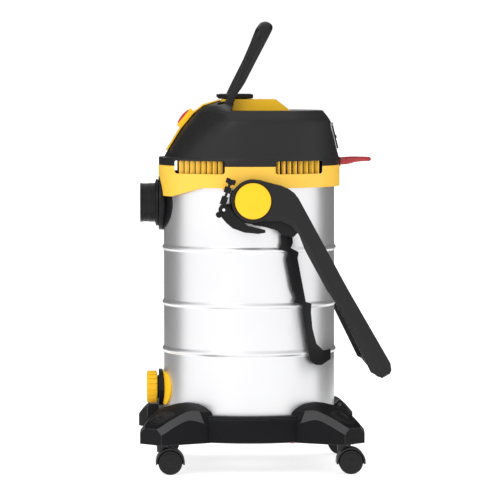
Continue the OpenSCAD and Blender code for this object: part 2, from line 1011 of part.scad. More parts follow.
// A smooth curve through four points in a row, t of the way from b to c
function between(a, b, c, d, t) =
    ((2 * b) + (c - a) * t + (2 * a - 5 * b + 4 * c - d) * t * t
        + (3 * b - a - 3 * c + d) * t * t * t) / 2;

function smooth(route, last = len(cord_route) - 1) = concat(
    [for (i = [0:last - 1], k = [0:cord_steps - 1])
        between(route[max(i - 1, 0)], route[i], route[i + 1], route[min(i + 2, last)],
            k / cord_steps)],
    [route[last]]
);

function heading(points, i) =
    unit(points[min(i + 1, len(points) - 1)] - points[max(i - 1, 0)]);

// Each ring's first side direction is the one before it, turned no more than needed
function frame_dirs(points, i = 0, last = [0, 0, 1]) =
    i == len(points)
        ? []
        : let (t = heading(points, i), side = unit(last - (last * t) * t))
            concat([side], frame_dirs(points, i + 1, side));

function tube_ring(centre, t, side) =
    let (other = cross(t, side))
        [for (k = [0:cord_sides - 1])
            centre + cord_r * (cos(k * 360 / cord_sides) * side + sin(k * 360 / cord_sides) * other)];

function tube_faces(rings) = concat(
    [[for (k = [cord_sides - 1:-1:0]) k]],
    [for (i = [0:rings - 2], k = [0:cord_sides - 1])
        let (a = i * cord_sides, n = (k + 1) % cord_sides)
            [a + k, a + n, a + cord_sides + n, a + cord_sides + k]],
    [[for (k = [0:cord_sides - 1]) (rings - 1) * cord_sides + k]]
);

module cord() {
    line = smooth(cord_route);
    sides = frame_dirs(line);
    points = [for (i = [0:len(line) - 1]) each tube_ring(line[i], heading(line, i), sides[i])];
    color([0.7, 0.12, 0.12])
        at_axis()
            polyhedron(points = points, faces = tube_faces(len(line)), convexity = 6);
}

module cord_coil() {
    color([0.7, 0.12, 0.12])
        at_axis()
            translate([coil_at[0], coil_at[1], 0])
                rotate_extrude()
                    polygon([
                        [coil_r[0], 3], [coil_r[0] + 3, 0], [coil_r[1] - 3, 0],
                        [coil_r[1], 3], [coil_r[1], coil_h - 3], [coil_r[1] - 3, coil_h],
                        [coil_r[0] + 3, coil_h], [coil_r[0], coil_h - 3]
                    ]);
}

module plug() {
    color([0.15, 0.15, 0.16])
        at_axis()
            translate(plug_at)
                rotate([0, -90, 0]) {
                    rotate_extrude()
                        polygon([
                            [0, -22], [5.5, -22], [7.5, 8], [14, 24], [plug_r, 30],
                            [plug_r, 52], [0, 52]
                        ]);
                    for (side = [-1, 1])
                        translate([0, side * 9.5, 51]) cylinder(r = 2.4, h = 20);
                }
}

tank();
tank_beads();
base_frame();
base_screws();
caster_caps();
front_buffer();
tool_holder();
inlet_body();
inlet_ring();
inlet_deflector();
drain_body();
drain_plate();
drain_seal();
drain_cap();
pivot_bracket_left();
pivot_bracket_right();
tool_rail();
latch_pins();
push_handle();
pivot_caps();
latch_lever_left();
latch_lever_right();
latch_bolt_left();
latch_bolt_right();
head_ring();
head_catches();
vent_ribs();
head_cover();
top_plate();
front_panel();
socket_plate();
socket_flap();
cord_gland();
motor();
motor_plate();
fan_impeller();
filter_cage();
filter_cartridge();
filter_nut();
float_ball();
head_seal();
head_screws();
rocker_switch();
selector_knob();
carry_handle();
caster_fork_front_left();
caster_fork_front_right();
caster_fork_rear_left();
caster_fork_rear_right();
caster_wheels_front_left();
caster_wheels_front_right();
caster_wheels_rear_left();
caster_wheels_rear_right();
caster_axle_front_left();
caster_axle_front_right();
caster_axle_rear_left();
caster_axle_rear_right();
cord();
cord_coil();
plug();
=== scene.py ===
"""Looks of a wet and dry vacuum cleaner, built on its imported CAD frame.

Shapes are written in millimetres from the drum's axis: -X is the front with the hose inlet,
+X the rear with the mains lead, -Y the side that the camera sees, and Z is up from the floor.
"""

import json
import math

import bmesh
import bpy
from mathutils import Matrix, Vector


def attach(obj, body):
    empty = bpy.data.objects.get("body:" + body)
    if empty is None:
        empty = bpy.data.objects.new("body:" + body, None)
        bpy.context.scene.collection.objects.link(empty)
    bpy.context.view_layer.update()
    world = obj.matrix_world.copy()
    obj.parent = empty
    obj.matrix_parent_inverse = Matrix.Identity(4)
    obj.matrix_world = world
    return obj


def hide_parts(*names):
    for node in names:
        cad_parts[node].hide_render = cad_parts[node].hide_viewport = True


AXIS_X = -25  # the drum's axis in the part frame
SIDES = {"left": -1, "right": 1}
CORNERS = {"front_left": (-1, -1), "front_right": (-1, 1), "rear_left": (1, -1), "rear_right": (1, 1)}

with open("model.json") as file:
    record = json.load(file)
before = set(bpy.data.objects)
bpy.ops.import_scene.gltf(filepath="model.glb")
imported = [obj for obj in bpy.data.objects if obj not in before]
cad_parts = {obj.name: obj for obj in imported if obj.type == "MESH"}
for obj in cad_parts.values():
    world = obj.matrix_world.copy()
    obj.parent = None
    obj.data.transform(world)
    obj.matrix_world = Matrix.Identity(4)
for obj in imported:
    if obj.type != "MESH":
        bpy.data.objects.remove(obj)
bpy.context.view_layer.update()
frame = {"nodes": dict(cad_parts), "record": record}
NODES = frame["nodes"]


def at(x, y, z):
    """A point given in millimetres from the drum's axis, in metres in the part frame."""
    return Vector((x + AXIS_X, y, z)) / 1000


# ---------------------------------------------------------------- camera and stage

CAMERA_AT = (-250, -6645, 762)
CAMERA_AIM = (1.8, 0, 408)
CAMERA_LENS = 252


def make_camera():
    """A long lens far out on the side that the photo shows."""
    data = bpy.data.cameras.new("camera")
    data.lens = CAMERA_LENS
    data.sensor_width = 36
    data.clip_end = 60
    camera = bpy.data.objects.new("camera", data)
    camera.location = at(*CAMERA_AT)
    look = at(*CAMERA_AIM) - camera.location
    camera.rotation_euler = look.to_track_quat("-Z", "Y").to_euler()
    bpy.context.collection.objects.link(camera)
    bpy.context.scene.camera = camera


def nodes_of(material):
    """The nodes and the links of a material."""
    material.use_nodes = True
    return material.node_tree.nodes, material.node_tree.links


def plane(name, width, height, location, rotation=(0, 0, 0)):
    """A flat rectangle, in metres."""
    mesh = bpy.data.meshes.new(name)
    x, y = width / 2, height / 2
    mesh.from_pydata([(-x, -y, 0), (x, -y, 0), (x, y, 0), (-x, y, 0)], [], [(0, 1, 2, 3)])
    obj = bpy.data.objects.new(name, mesh)
    obj.location = location
    obj.rotation_euler = rotation
    bpy.context.collection.objects.link(obj)
    return obj


def flat_finish(name, colour, roughness, glow=0.0):
    """A plain matt finish for the floor and the cards, with a little light of its own if asked."""
    material = bpy.data.materials.new(name)
    nodes, _ = nodes_of(material)
    shader = nodes["Principled BSDF"]
    shader.inputs["Base Color"].default_value = (*colour, 1)
    shader.inputs["Roughness"].default_value = roughness
    shader.inputs["Specular IOR Level"].default_value = 0
    shader.inputs["Emission Color"].default_value = (1, 1, 1, 1)
    shader.inputs["Emission Strength"].default_value = glow
    return material


def make_stage():
    """A light floor, and dark cards behind the machine that only reflections see."""
    floor = plane("floor", 60, 60, (0, 0, -0.0005))
    floor.data.materials.append(flat_finish("floor_paint", (0.6, 0.6, 0.6), 0.7, glow=0.75))
    card_paint = flat_finish("card_paint", (0.05, 0.05, 0.05), 0.9)
    for name, away, behind in (("broad_card_", 0.9, 1.3), ("edge_card_", 0.45, 2.1)):
        for side, sign in SIDES.items():
            card = plane(name + side, 2.4, 2.4, (sign * away, behind, 1.0), (math.pi / 2, 0, math.pi / 2))
            card.data.materials.append(card_paint)
            card.visible_camera = False
            card.visible_diffuse = False
            card.visible_shadow = False


def area_light(name, location, aim, size, power):
    """A rectangular light aimed at a point, in metres and watts."""
    data = bpy.data.lights.new(name, "AREA")
    data.shape = "RECTANGLE"
    data.size, data.size_y = size
    data.energy = power
    light = bpy.data.objects.new(name, data)
    light.location = location
    light.rotation_euler = (Vector(aim) - Vector(location)).to_track_quat("-Z", "Y").to_euler()
    bpy.context.collection.objects.link(light)
    return light


def make_lights():
    """A bright white surround and one soft key light."""
    world = bpy.data.worlds.new("studio")
    world.use_nodes = True
    world.node_tree.nodes["Background"].inputs["Color"].default_value = (1, 1, 1, 1)
    world.node_tree.nodes["Background"].inputs["Strength"].default_value = 1.04
    bpy.context.scene.world = world
    bpy.context.scene.view_settings.view_transform = "Standard"
    area_light("key", (-1.6, -2.2, 2.2), (0, 0, 0.4), (1.6, 1.6), 20)


make_camera()
make_stage()
make_lights()

# ---------------------------------------------------------------- finishes

FINISHES = {}


def finish_base(name, colour, roughness, spread, scale, metallic=0.0):
    """A principled shader whose colour and roughness vary softly over the surface."""
    material = bpy.data.materials.new(name)
    nodes, links = nodes_of(material)
    shader = nodes["Principled BSDF"]
    shader.inputs["Metallic"].default_value = metallic
    place = nodes.new("ShaderNodeTexCoord")
    cloud = nodes.new("ShaderNodeTexNoise")
    cloud.inputs["Scale"].default_value = scale
    cloud.inputs["Detail"].default_value = 4
    links.new(place.outputs["Object"], cloud.inputs["Vector"])
    tone = nodes.new("ShaderNodeMix")
    tone.data_type = "RGBA"
    tone.inputs["A"].default_value = (*[c * (1 - spread) for c in colour], 1)
    tone.inputs["B"].default_value = (*[min(1, c * (1 + spread)) for c in colour], 1)
    links.new(cloud.outputs["Fac"], tone.inputs["Factor"])
    rough = nodes.new("ShaderNodeMapRange")
    rough.inputs["To Min"].default_value = roughness * 0.85
    rough.inputs["To Max"].default_value = roughness * 1.15
    links.new(cloud.outputs["Fac"], rough.inputs["Value"])
    links.new(rough.outputs["Result"], shader.inputs["Roughness"])
    return material, nodes, links, shader, place, tone


def edge_wear_and_painted_highlight(nodes, links, shader, tone, wear_and_highlight, radius):
    """Lightens the colour where the surface turns sharply, partly as edge wear and partly as a painted
    highlight on edges and chamfers. Returns the rounding node.
    """
    rounded = nodes.new("ShaderNodeBevel")
    rounded.inputs["Radius"].default_value = radius
    rounded.samples = 4
    geometry = nodes.new("ShaderNodeNewGeometry")
    turn = nodes.new("ShaderNodeVectorMath")
    turn.operation = "DOT_PRODUCT"
    links.new(rounded.outputs["Normal"], turn.inputs[0])
    links.new(geometry.outputs["Normal"], turn.inputs[1])
    mask = nodes.new("ShaderNodeMapRange")
    mask.inputs["From Min"].default_value = 0.98
    mask.inputs["From Max"].default_value = 0.75
    mask.inputs["To Max"].default_value = wear_and_highlight
    links.new(turn.outputs["Value"], mask.inputs["Value"])
    # The grey mixed in on sharp edges is partly edge wear and partly a painted highlight.
    mix = nodes.new("ShaderNodeMix")
    mix.data_type = "RGBA"
    mix.inputs["B"].default_value = (0.75, 0.75, 0.75, 1)
    links.new(mask.outputs["Result"], mix.inputs["Factor"])
    links.new(tone.outputs["Result"], mix.inputs["A"])
    links.new(mix.outputs["Result"], shader.inputs["Base Color"])
    return rounded


def grain(nodes, links, shader, place, rounded, scale, depth, stretch=(1, 1, 1)):
    """A fine bump over the rounded normal, stretched for brushed metal."""
    mapping = nodes.new("ShaderNodeMapping")
    mapping.inputs["Scale"].default_value = stretch
    links.new(place.outputs["Object"], mapping.inputs["Vector"])
    noise = nodes.new("ShaderNodeTexNoise")
    noise.inputs["Scale"].default_value = scale
    noise.inputs["Detail"].default_value = 3
    links.new(mapping.outputs["Vector"], noise.inputs["Vector"])
    bump = nodes.new("ShaderNodeBump")
    bump.inputs["Strength"].default_value = 0.4
    bump.inputs["Distance"].default_value = depth
    links.new(noise.outputs["Fac"], bump.inputs["Height"])
    links.new(rounded.outputs["Normal"], bump.inputs["Normal"])
    links.new(bump.outputs["Normal"], shader.inputs["Normal"])


def plastic(name, colour, roughness, texture=900, depth=0.00012, wear_and_highlight=0.04, radius=0.0012, gloss=0.5):
    """Adds a finish for plastic, rubber or paper to FINISHES."""
    material, nodes, links, shader, place, tone = finish_base(name, colour, roughness, 0.07, 14)
    shader.inputs["Specular IOR Level"].default_value = gloss
    rounded = edge_wear_and_painted_highlight(nodes, links, shader, tone, wear_and_highlight, radius)
    grain(nodes, links, shader, place, rounded, texture, depth)
    FINISHES[name] = material
    return shader


def metal(name, colour, roughness, stretch, scale=160, depth=0.00004, wear_and_highlight=0.2, metallic=1.0):
    """Adds a metal finish to FINISHES, its grain stretched where it is brushed."""
    material, nodes, links, shader, place, tone = finish_base(name, colour, roughness, 0.04, 9, metallic)
    rounded = edge_wear_and_painted_highlight(nodes, links, shader, tone, wear_and_highlight, 0.0006)
    grain(nodes, links, shader, place, rounded, scale, depth, stretch)
    FINISHES[name] = material
    return shader


def make_finishes():
    """Every finish: one for each material slot, and a few more."""
    # The base's strong edge lightening is a painted highlight on its chamfers and facets.
    plastic("base_plastic", (0.006, 0.006, 0.007), 0.5, wear_and_highlight=0.16, radius=0.002, gloss=0.1)
    # A lighter copy of the base plastic for the bands on the feet's top edges: a painted highlight where the
    # chamfers catch the light.
    plastic("base_chamfer_highlight_plastic", (0.05, 0.05, 0.052), 0.5, wear_and_highlight=0.1, gloss=0.2)
    plastic("housing_plastic", (0.013, 0.013, 0.014), 0.44, gloss=0.24)
    plastic("handle_plastic", (0.010, 0.010, 0.011), 0.4, gloss=0.24)
    plastic("black_plastic", (0.007, 0.007, 0.008), 0.36, gloss=0.18)
    plastic("yellow_plastic", (0.93, 0.55, 0.05), 0.38, depth=0.00005, wear_and_highlight=0.02)
    plastic("deep_yellow_plastic", (0.95, 0.54, 0.01), 0.34, depth=0.00005, wear_and_highlight=0.02, gloss=0.3)
    plastic("red_plastic", (0.50, 0.012, 0.025), 0.22, depth=0.00002, wear_and_highlight=0.02)
    plastic("grey_plastic", (0.52, 0.53, 0.54), 0.5)
    plastic("float_plastic", (0.85, 0.85, 0.86), 0.4)
    plastic("caster_plastic", (0.011, 0.011, 0.012), 0.36, gloss=0.32)
    plastic("black_rubber", (0.010, 0.010, 0.010), 0.62, texture=500, depth=0.0002, wear_and_highlight=0.02, gloss=0.3)
    plastic("wheel_rubber", (0.010, 0.010, 0.011), 0.5, texture=420, depth=0.0002, wear_and_highlight=0.05, gloss=0.2)
    plastic("cord_red", (0.42, 0.02, 0.028), 0.4, texture=700, depth=0.00006, wear_and_highlight=0.0)
    plastic("plug_black", (0.014, 0.014, 0.014), 0.45, wear_and_highlight=0.03, gloss=0.35)
    plastic("tie_black", (0.012, 0.012, 0.012), 0.5, texture=700, wear_and_highlight=0.03, gloss=0.35)
    plastic("filter_paper", (0.86, 0.84, 0.78), 0.9, texture=260, depth=0.0005, wear_and_highlight=0.0)
    metal("stainless", (0.75, 0.75, 0.76), 0.36, (1, 1, 40), scale=60, depth=0.00001, metallic=0.85)
    metal("zinc_steel", (0.62, 0.62, 0.64), 0.34, (1, 1, 1), scale=500)
    metal("pin_steel", (0.82, 0.82, 0.84), 0.18, (1, 1, 1), scale=400)
    metal("motor_steel", (0.50, 0.50, 0.52), 0.42, (1, 1, 20), scale=120)
    metal("fan_aluminium", (0.78, 0.78, 0.80), 0.3, (1, 1, 1), scale=300)


make_finishes()


def dress_frame():
    """Gives every CAD node the finish of its material slot."""
    for part in frame["record"]["subparts"]:
        node = NODES[part["node"]]
        node.data.materials.clear()
        node.data.materials.append(FINISHES[part["material_slot"]])


dress_frame()

# ---------------------------------------------------------------- mains lead

CORD_R = 4
CORD_ROUTE = [
    (174.2, 0, 576), (187, 0, 576.4), (199, 1, 578.5), (213, 6, 580), (225, 18, 580),
    (231, 37, 580), (227, 59, 580), (213, 78, 580), (195, 90, 579.5), (176, 99, 577),
    (161, 106, 570), (148, 112, 559), (139, 118, 543), (134, 122, 522), (131, 126, 495),
    (129, 130, 462), (127, 134, 428), (125, 138, 392), (122, 143, 355), (116, 150, 314),
    (107, 160, 272), (97, 169, 232), (87, 179, 190), (79, 190, 150), (74, 203, 114),
    (73, 219, 82), (75, 240, 55), (80, 266, 33), (86, 295, 17), (94, 325, 8), (102, 353, 4),
    (110, 382, 4), (115, 412, 4), (117, 450, 4),
]
COIL_AT = (60, 450)
COIL_R = (33, 57)  # innermost and outermost turn
COIL_LAYERS = 4
TURNS_PER_LAYER = 3
PLUG_TAIL = (60, 517, 19)


def catmull(a, b, c, d, t):
    """A point on a smooth curve from b to c, at a share t of the way."""
    a, b, c, d = map(Vector, (a, b, c, d))
    return 0.5 * (2 * b + (c - a) * t + (2 * a - 5 * b + 4 * c - d) * t**2 + (3 * b - a - 3 * c + d) * t**3)


def smooth_route(route, steps):
    """A smooth line through a route's points, in steps from each to the next."""
    last = len(route) - 1
    line = []
    for i in range(last):
        corners = [route[max(i - 1, 0)], route[i], route[i + 1], route[min(i + 2, last)]]
        line += [catmull(*corners, k / steps) for k in range(steps)]
    return line + [Vector(route[last])]


def coil_point(angle, r, z):
    """A point at a distance from the coil's middle."""
    return Vector((COIL_AT[0] + r * math.cos(angle), COIL_AT[1] + r * math.sin(angle), z))


def coil_line(per_turn=24):
    """Flat spirals in and out, layer on layer, each a cord's thickness from the next."""
    inner, outer = COIL_R
    line, angle = [], 0
    steps = TURNS_PER_LAYER * per_turn
    step = math.tau / per_turn
    for layer in range(COIL_LAYERS):
        start, end = (outer, inner) if layer % 2 == 0 else (inner, outer)
        z = CORD_R + 2 * CORD_R * layer
        for k in range(steps):
            line.append(coil_point(angle, start + (end - start) * k / steps, z))
            angle += step
        if layer < COIL_LAYERS - 1:
            rise = per_turn // 4
            for k in range(rise):
                line.append(coil_point(angle, end, z + 2 * CORD_R * k / rise))
                angle += step
    return line, angle


def coil_exit(angle, per_turn=24):
    """The last half turn rolls off the top of the coil to the plug's tail beside it."""
    outer = COIL_R[1]
    top = CORD_R + 2 * CORD_R * (COIL_LAYERS - 1)
    below = top - 2 * CORD_R
    reach = PLUG_TAIL[1] - COIL_AT[1] - outer
    half = per_turn // 2
    line = []
    for k in range(half + 1):
        roll = k / half * math.pi / 2
        r = outer + reach * math.sin(roll)
        z = PLUG_TAIL[2] + (top - PLUG_TAIL[2]) * math.cos(roll)
        line.append(coil_point(angle + math.pi * k / half, r, z))
    return line


def tube_along(name, line, radius, finish, body, sides=5):
    """A round curve through points in millimetres from the drum's axis."""
    data = bpy.data.curves.new(name, "CURVE")
    data.dimensions = "3D"
    data.bevel_depth = radius / 1000
    data.bevel_resolution = sides
    data.use_fill_caps = True
    spline = data.splines.new("POLY")
    spline.points.add(len(line) - 1)
    for point, place in zip(spline.points, line):
        point.co = (*at(*place), 1)
    spline.use_smooth = True
    data.materials.append(FINISHES[finish])
    obj = bpy.data.objects.new(name, data)
    bpy.context.collection.objects.link(obj)
    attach(obj, body)
    return obj


def make_cord():
    """The mains lead in one piece, with its sleeve, tie and plug."""
    turns, angle = coil_line()
    line = smooth_route(CORD_ROUTE, 4)[:-1] + turns + coil_exit(angle)
    lead = tube_along("mains_lead", line, CORD_R, "cord_red", "root")
    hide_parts("cord", "cord_coil")
    length = sum((b - a).length for a, b in zip(line, line[1:])) / 1000
    print("cord length", round(length, 3))
    make_relief()
    make_tie()
    make_plug()


# ---------------------------------------------------------------- shape tools

# A shape is (points, faces), its points in millimetres from the drum's axis.


def joined(*shapes):
    """Several shapes as one."""
    points, faces = [], []
    for shape_points, shape_faces in shapes:
        shift = len(points)
        points += [tuple(p) for p in shape_points]
        faces += [tuple(i + shift for i in face) for face in shape_faces]
    return points, faces


def moved(shape, matrix):
    """A shape put through a transform."""
    points, faces = shape
    return [tuple(matrix @ Vector(p)) for p in points], faces


def mirrored(shape):
    """The same shape on the other side of the machine's fore-aft plane."""
    points, faces = shape
    return [(x, -y, z) for x, y, z in points], [tuple(reversed(face)) for face in faces]


def skin(rings, closed=False, caps=True):
    """Faces between rings of the same number of points, each ring a closed loop."""
    n = len(rings[0])
    points = [p for ring in rings for p in ring]
    pairs = [(i, i + 1) for i in range(len(rings) - 1)]
    if closed:
        pairs.append((len(rings) - 1, 0))
    faces = [
        (a * n + k, a * n + (k + 1) % n, b * n + (k + 1) % n, b * n + k)
        for a, b in pairs for k in range(n)
    ]
    if caps and not closed:
        faces.append(tuple(reversed(range(n))))
        faces.append(tuple(range((len(rings) - 1) * n, len(rings) * n)))
    return points, faces


def circle(steps):
    """The cosine and sine of each step of a full turn."""
    return [(math.cos(k * math.tau / steps), math.sin(k * math.tau / steps)) for k in range(steps)]


def revolve(profile, steps=96, closed=True):
    """A profile of (radius, height) pairs turned round the Z axis."""
    rings = [[(r * c, r * s, z) for c, s in circle(steps)] for r, z in profile]
    return skin(rings, closed=closed)


def extruded(outline, y0, y1):
    """A side outline of (x, z) pairs given thickness along Y."""
    return skin([[(x, y0, z) for x, z in outline], [(x, y1, z) for x, z in outline]])


def place(x=0, y=0, z=0, tilt=0, turn=0):
    """Tilt about Y, then turn about Z, both in degrees, then move."""
    spin = Matrix.Rotation(math.radians(turn), 4, "Z") @ Matrix.Rotation(math.radians(tilt), 4, "Y")
    return Matrix.Translation((x, y, z)) @ spin


def tidy_mesh(mesh, sharp):
    """Merges doubled points, turns faces outward, and smooths all but sharp edges."""
    work = bmesh.new()
    work.from_mesh(mesh)
    bmesh.ops.remove_doubles(work, verts=work.verts, dist=1e-6)
    bmesh.ops.recalc_face_normals(work, faces=work.faces)
    work.to_mesh(mesh)
    work.free()
    mesh.shade_smooth()
    mesh.set_sharp_from_angle(angle=math.radians(sharp))


def piece(name, shape, finish, body, replaces=(), sharp=32, rounding=0, segments=3):
    """A detailed mesh that rides on a body in place of CAD nodes."""
    points, faces = shape
    mesh = bpy.data.meshes.new(name)
    mesh.from_pydata([at(*p) for p in points], [], faces)
    tidy_mesh(mesh, sharp)
    mesh.materials.append(FINISHES[finish])
    obj = bpy.data.objects.new(name, mesh)
    bpy.context.collection.objects.link(obj)
    if rounding:
        bevel = obj.modifiers.new("rounding", "BEVEL")
        bevel.width = rounding / 1000
        bevel.segments = segments
        bevel.limit_method = "ANGLE"
        bevel.angle_limit = math.radians(sharp)
        bevel.harden_normals = True
    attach(obj, body)
    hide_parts(*replaces)
    return obj


def cut(obj, *shapes):
    """Takes shapes out of a piece, before its edges are rounded."""
    points, faces = joined(*shapes)
    mesh = bpy.data.meshes.new("cutter")
    mesh.from_pydata([at(*p) for p in points], [], faces)
    tidy_mesh(mesh, 30)
    cutter = bpy.data.objects.new("cutter", mesh)
    bpy.context.collection.objects.link(cutter)
    boolean = obj.modifiers.new("cut", "BOOLEAN")
    boolean.object = cutter
    boolean.solver = "EXACT"
    boolean.use_self = True
    obj.modifiers.move(len(obj.modifiers) - 1, 0)
    bpy.context.view_layer.update()
    depsgraph = bpy.context.evaluated_depsgraph_get()
    others = [m for m in obj.modifiers if m != boolean]
    for modifier in others:
        modifier.show_viewport = False
    depsgraph.update()
    cut_mesh = bpy.data.meshes.new_from_object(obj.evaluated_get(depsgraph))
    for modifier in others:
        modifier.show_viewport = True
    obj.modifiers.remove(boolean)
    obj.data = cut_mesh
    bpy.data.objects.remove(cutter)
    return obj


DRUM_R = 162
BASE_Z = 57
INLET_Z = 499
DRAIN_Z = 148


def level(table, z):
    """A value read off a table of (position, value) pairs."""
    if z <= table[0][0]:
        return table[0][1]
    for (z0, v0), (z1, v1) in zip(table, table[1:]):
        if z <= z1:
            return v0 + (v1 - v0) * (z - z0) / (z1 - z0)
    return table[-1][1]


def bore(radius, x0, x1, z, steps=64):
    """A round shape along X, such as a cutter."""
    return skin([[(x, radius * c, z + radius * s) for c, s in circle(steps)] for x in (x0, x1)])


def along_x(profile, y, z, steps=96, closed=False):
    """A profile of (radius, x) pairs turned round a line along X."""
    rings = [[(x, y + r * c, z + r * s) for c, s in circle(steps)] for r, x in profile]
    return skin(rings, closed=closed)


def along_y(profile, x, z, steps=96, closed=False):
    """A profile of (radius, y) pairs turned round a line along Y."""
    rings = [[(x + r * c, y, z + r * s) for c, s in circle(steps)] for r, y in profile]
    return skin(rings, closed=closed)


def box(x0, x1, y0, y1, z0, z1):
    """A box between two limits on each axis."""
    return skin([[(x, y0, z0), (x, y1, z0), (x, y1, z1), (x, y0, z1)] for x in (x0, x1)])


def rounded_outline(x0, x1, z0, z1, radius, steps=5):
    """A rectangle with rounded corners, as (x, z) pairs."""
    corners = [(x1 - radius, z1 - radius, 0), (x0 + radius, z1 - radius, 90),
               (x0 + radius, z0 + radius, 180), (x1 - radius, z0 + radius, 270)]
    outline = []
    for x, z, start in corners:
        for k in range(steps + 1):
            angle = math.radians(start + 90 * k / steps)
            outline.append((x + radius * math.cos(angle), z + radius * math.sin(angle)))
    return outline


def both(shape):
    """A shape together with its mirror image on the machine's other side."""
    return joined(shape, mirrored(shape))


# ---------------------------------------------------------------- mains lead's ends


RELIEF_STEPS = 7  # rings from one route point to the next
RELIEF_R = (6.6, 4.5)  # at the head and at the sleeve's end
RELIEF_GROOVE = 0.5


def make_relief():
    """The ribbed sleeve that keeps the lead from kinking where it leaves the head."""
    start = Vector(CORD_ROUTE[0])
    line = [start + Vector((-1.9 * k, 0, 0)) for k in range(4, 0, -1)]
    line += smooth_route(CORD_ROUTE[:3], RELIEF_STEPS)
    start_r, end_r = RELIEF_R
    rings = []
    for k, spot in enumerate(line):
        groove = RELIEF_GROOVE if k % 3 == 2 else 0
        r = start_r + (end_r - start_r) * k / len(line) - groove
        rings.append([(spot.x, spot.y + r * c, spot.z + r * s) for c, s in circle(24)])
    return piece("strain_relief", skin(rings), "cord_red", "root", sharp=50)


def make_tie():
    """A strap round the coil's bundle."""
    middle = (COIL_R[0] + COIL_R[1]) / 2
    half = (COIL_R[1] - COIL_R[0]) / 2 + CORD_R + 0.9
    top = 2 * CORD_R * COIL_LAYERS + 0.9
    loop = rounded_outline(middle - half, middle + half, 0.2, top, 5)
    inner = [(middle + (x - middle) * (1 - 1.2 / half), 0.9 + z * (1 - 2.2 / top)) for x, z in loop]
    angle = math.radians(205)
    spin = Matrix.Translation((*COIL_AT, 0)) @ Matrix.Rotation(angle, 4, "Z")
    band = skin([
        [(x, -4, z) for x, z in loop], [(x, 4, z) for x, z in loop],
        [(x, 4, z) for x, z in inner], [(x, -4, z) for x, z in inner],
    ], closed=True)
    buckle = box(middle - 6, middle + 6, -6, 6, top - 1, top + 2.4)
    return piece("coil_tie", moved(joined(band, buckle), spin), "tie_black", "root", sharp=35, rounding=0.4)


def make_plug():
    """An earthed plug lying on its side, its tail towards the coil."""
    x, y, z = PLUG_TAIL
    ribs = [(5.2 + 0.12 * k + (0.7 if k % 2 else 0), x - 2 - 2 * k) for k in range(12)]
    body = [(7.5, 30), (9.5, 37), (13.5, 45), (17.5, 50), (19, 54), (19, 72), (17.6, 74)]
    shape = along_x([(4.6, x), *ribs, *[(r, x - back) for r, back in body]], y, z, 64)
    pins = [
        along_x([(2.4, x - 73), (2.4, x - 91), (1.6, x - 93)], y + side * 9.5, z, 24) for side in (-1, 1)
    ]
    plug = piece("mains_plug", shape, "plug_black", "root", ["plug"], sharp=40)
    metal_pins = piece("mains_plug_pins", joined(*pins), "pin_steel", "root", sharp=40)
    metal_pins.parent = plug
    return plug


make_cord()

# ---------------------------------------------------------------- drum

BEADS = (222, 311, 415)
BEAD_HALF = 6
BEAD_HIGH = 3


def drum_profile():
    """The drum's wall from the middle of its floor to its rolled rim, and back down inside."""
    outside = [(2, 70), (150, 70), (158, 71.2), (161, 74), (DRUM_R, 79), (DRUM_R, 80)]
    for z in BEADS:
        outside.append((DRUM_R, z - BEAD_HALF - 1))
        for k in range(13):
            share = (k - 6) / 6
            bulge = BEAD_HIGH * math.cos(share * math.pi / 2) ** 1.4
            outside.append((DRUM_R + bulge, z + BEAD_HALF * share))
        outside.append((DRUM_R, z + BEAD_HALF + 1))
    turns = [k * math.pi / 8 for k in range(9)]
    rim = [(DRUM_R + 1.6 * math.sin(a) + 0.2, 533.6 - 2.4 * math.cos(a)) for a in turns]
    inside = [(DRUM_R - 1.4, 530), (DRUM_R - 1.4, 80), (156, 72.6), (2, 71.6)]
    return outside + [(DRUM_R, 530)] + rim + inside


def make_drum():
    """The steel drum, with holes for the hose inlet and the drain."""
    wall = revolve(drum_profile(), 192)
    drum = piece("drum", wall, "stainless", "root", ["tank", "tank_beads"], sharp=50)
    cut(drum, bore(34.5, -180, -120, INLET_Z), bore(18, -180, -120, DRAIN_Z))


make_drum()

# ---------------------------------------------------------------- head cover

# Pairs of a height and a reach from the drum's axis: front slope, rear slope, sides.
COVER_FRONT = (
    (586.5, 162), (600, 154), (620, 141.5), (640, 129), (655, 117), (668, 106), (674, 99), (683, 86),
    (690, 62),
)
COVER_REAR = (
    (586.5, 171.8), (592, 171), (597, 165.5), (625, 158), (646, 150.5), (652, 152.5), (662, 147),
    (670, 141), (674, 138),
)
COVER_R = (
    (571, 171.6), (600, 171), (640, 170.4), (655, 169.4), (658, 167), (674, 148), (684, 110), (692, 70),
)
COVER_LEVELS = (586.6, 588, 594, 602, 612, 622, 632, 641, 648, 653, 656.5, 658.5, 663, 668, 672, 673.8)
HUMP_LEVELS = (672, 674, 677, 680, 683, 686, 688.5, 690.5, 691.6, 692)
SHELL = 4  # about the cover's thickness
COVER_REACH = 160  # about the cover's distance from the drum's axis
ROOF_Z = (670.9, 673.9)
HUMP_REAR = (-37, 674)  # a point on the hump's rear face, along X and up
HUMP_LEAN = 0.39
HUMP_CREASE = 30  # how sharply the hump's front meets its sides
COVER_CENTRE = -45
REAR_CREASE = 80  # how sharply the flat rear meets the sides
FRONT_BULGE = 0.0026  # how far the front slope falls back at its sides, per square millimetre
WINDOWS = ((-143, -51), (43, 133))
SWITCH_AT = (-122, 660)
SWITCH_TILT = -50.3
SOCKET_AT = (154, 621.3)
SOCKET_TILT = 76.3
CARRY_PIVOT = (-44, 680)
WINDOW_Z = (557, 581)


